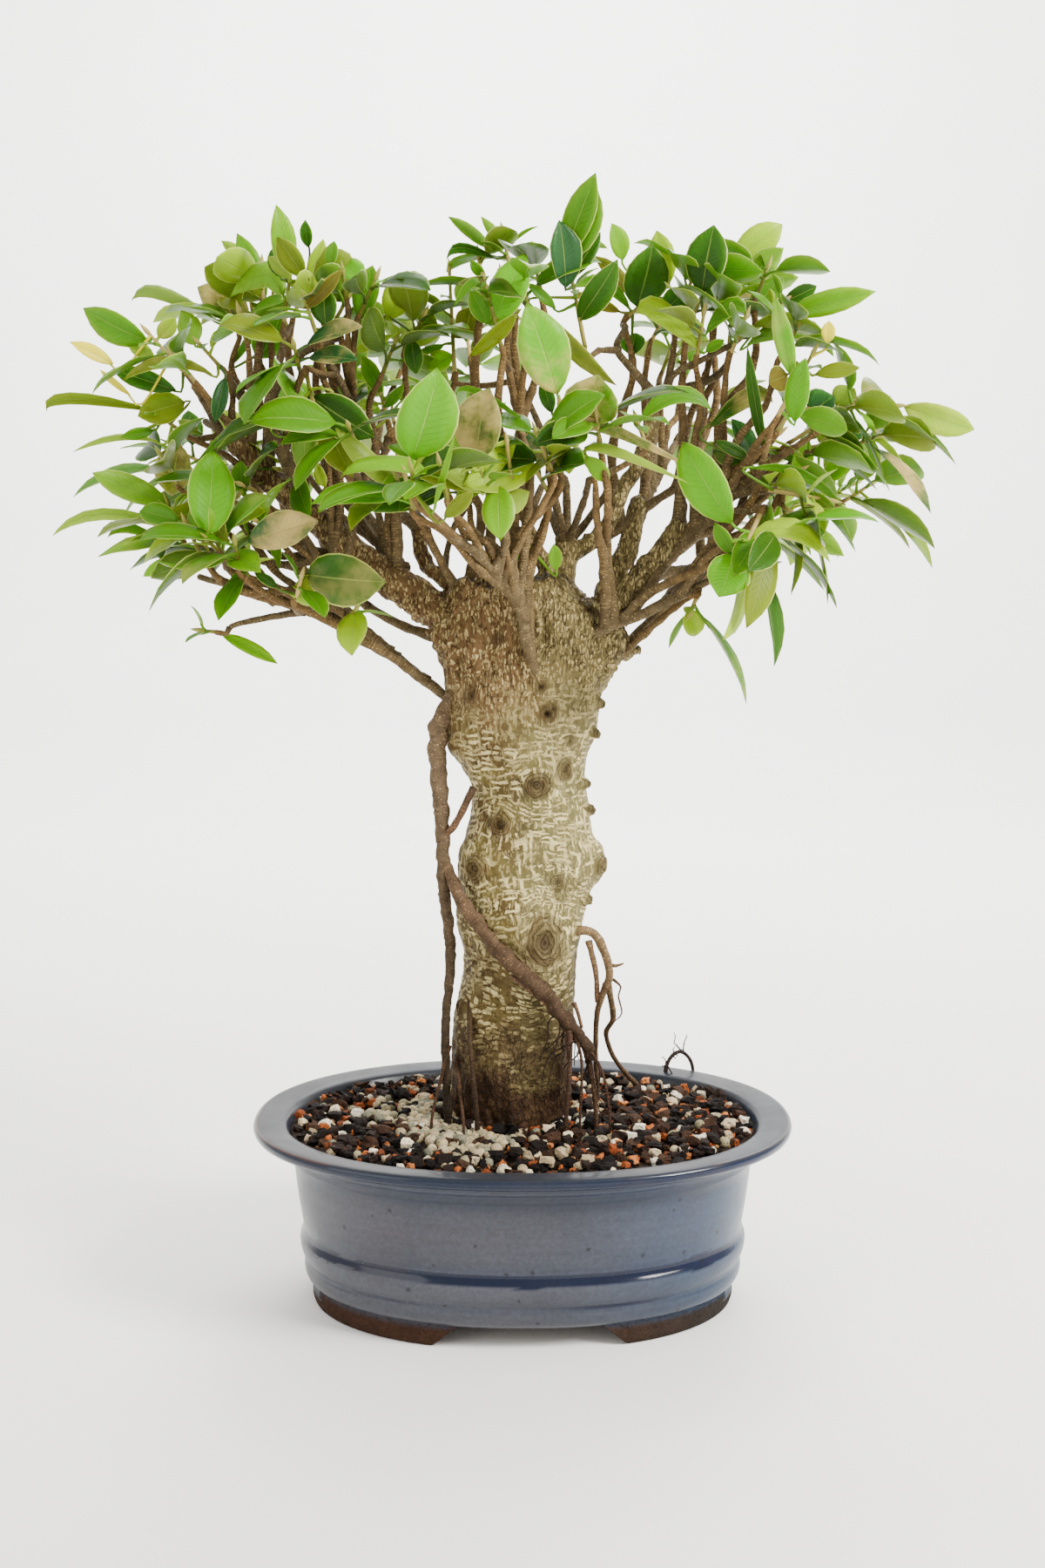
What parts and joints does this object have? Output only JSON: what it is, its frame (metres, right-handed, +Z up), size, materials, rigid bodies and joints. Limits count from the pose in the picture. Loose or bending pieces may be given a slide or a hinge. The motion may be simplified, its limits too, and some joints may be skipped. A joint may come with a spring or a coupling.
{
  "type": "tiger bark ficus bonsai",
  "caption": "Bonsai fig tree with a thick striped trunk, hanging roots and a wide crown of oval leaves, standing in an oval glazed pot of granular soil.",
  "frame": {"origin": "on the surface that the pot stands on, below the middle of the whole plant's box", "axes": "+Z up, +X to the right along the pot's long side, -Y towards the viewer's side of the tree"},
  "size_m": [0.5161, 0.3178, 0.6227],
  "materials": {
    "pot_glaze": "gloss",
    "screen_plastic": "matte",
    "soil_mix": "matte",
    "bark": "matte",
    "leaf_light": "satin",
    "leaf_mid": "satin",
    "leaf_dark": "satin"
  },
  "bodies": {
    "root": {"pot": "pot_glaze", "drain_screen_left": "screen_plastic", "drain_screen_right": "screen_plastic", "soil": "soil_mix", "trunk_and_branches": "bark", "leaf_spray_far_left_high": "leaf_light", "leaf_spray_left_fork": "leaf_mid", "leaf_spray_left_crown": "leaf_dark", "leaf_spray_crown_left_front": "leaf_light", "leaf_spray_crown_left_mid": "leaf_mid", "leaf_spray_crown_left_tip": "leaf_dark", "leaf_spray_left_top_branchlet": "leaf_light", "leaf_spray_left_mid_top": "leaf_mid", "leaf_spray_top_mid": "leaf_dark", "leaf_spray_top_centre": "leaf_light", "leaf_spray_top_spire": "leaf_mid", "leaf_spray_top_right_front": "leaf_dark", "leaf_spray_top_right": "leaf_light", "leaf_spray_right_top": "leaf_mid", "leaf_spray_right_top_inner": "leaf_dark", "leaf_spray_right_high": "leaf_light", "leaf_spray_right_upper_outer": "leaf_mid", "leaf_spray_right_upper_front": "leaf_dark", "leaf_spray_right_mid": "leaf_light", "leaf_spray_right_outer": "leaf_mid", "leaf_spray_right_low_outer": "leaf_dark", "leaf_spray_right_low": "leaf_light", "leaf_spray_right_round": "leaf_mid", "leaf_spray_right_limb_tip": "leaf_dark", "leaf_spray_right_under": "leaf_light", "leaf_spray_centre_front": "leaf_mid", "leaf_spray_centre_right": "leaf_dark", "leaf_spray_hub_front": "leaf_light", "leaf_spray_centre_low": "leaf_mid", "leaf_spray_centre_inner": "leaf_dark", "leaf_spray_front_low_left": "leaf_light", "leaf_spray_centre_stub": "leaf_mid", "leaf_spray_left_mid_front": "leaf_dark", "leaf_spray_left_mid_high": "leaf_light", "leaf_spray_left_dark": "leaf_mid", "leaf_spray_left_inner": "leaf_dark", "leaf_spray_limb_left": "leaf_light", "leaf_spray_far_left_mid": "leaf_mid", "leaf_spray_left_low_outer": "leaf_dark", "leaf_spray_left_low_front": "leaf_light", "leaf_spray_left_under": "leaf_mid", "leaf_spray_left_under_low": "leaf_dark", "leaf_spray_trunk_left": "leaf_light", "leaf_spray_trunk_left_under": "leaf_mid", "leaf_spray_back_left_high": "leaf_dark", "leaf_spray_back_left": "leaf_light", "leaf_spray_back_left_low": "leaf_mid", "leaf_spray_back_far_left": "leaf_dark", "leaf_spray_back_middle_high": "leaf_light", "leaf_spray_back_middle": "leaf_mid", "leaf_spray_back_right_high": "leaf_dark", "leaf_spray_back_right": "leaf_light", "leaf_spray_back_right_low": "leaf_mid", "leaf_spray_side_right": "leaf_dark"}
  },
  "joints": []
}
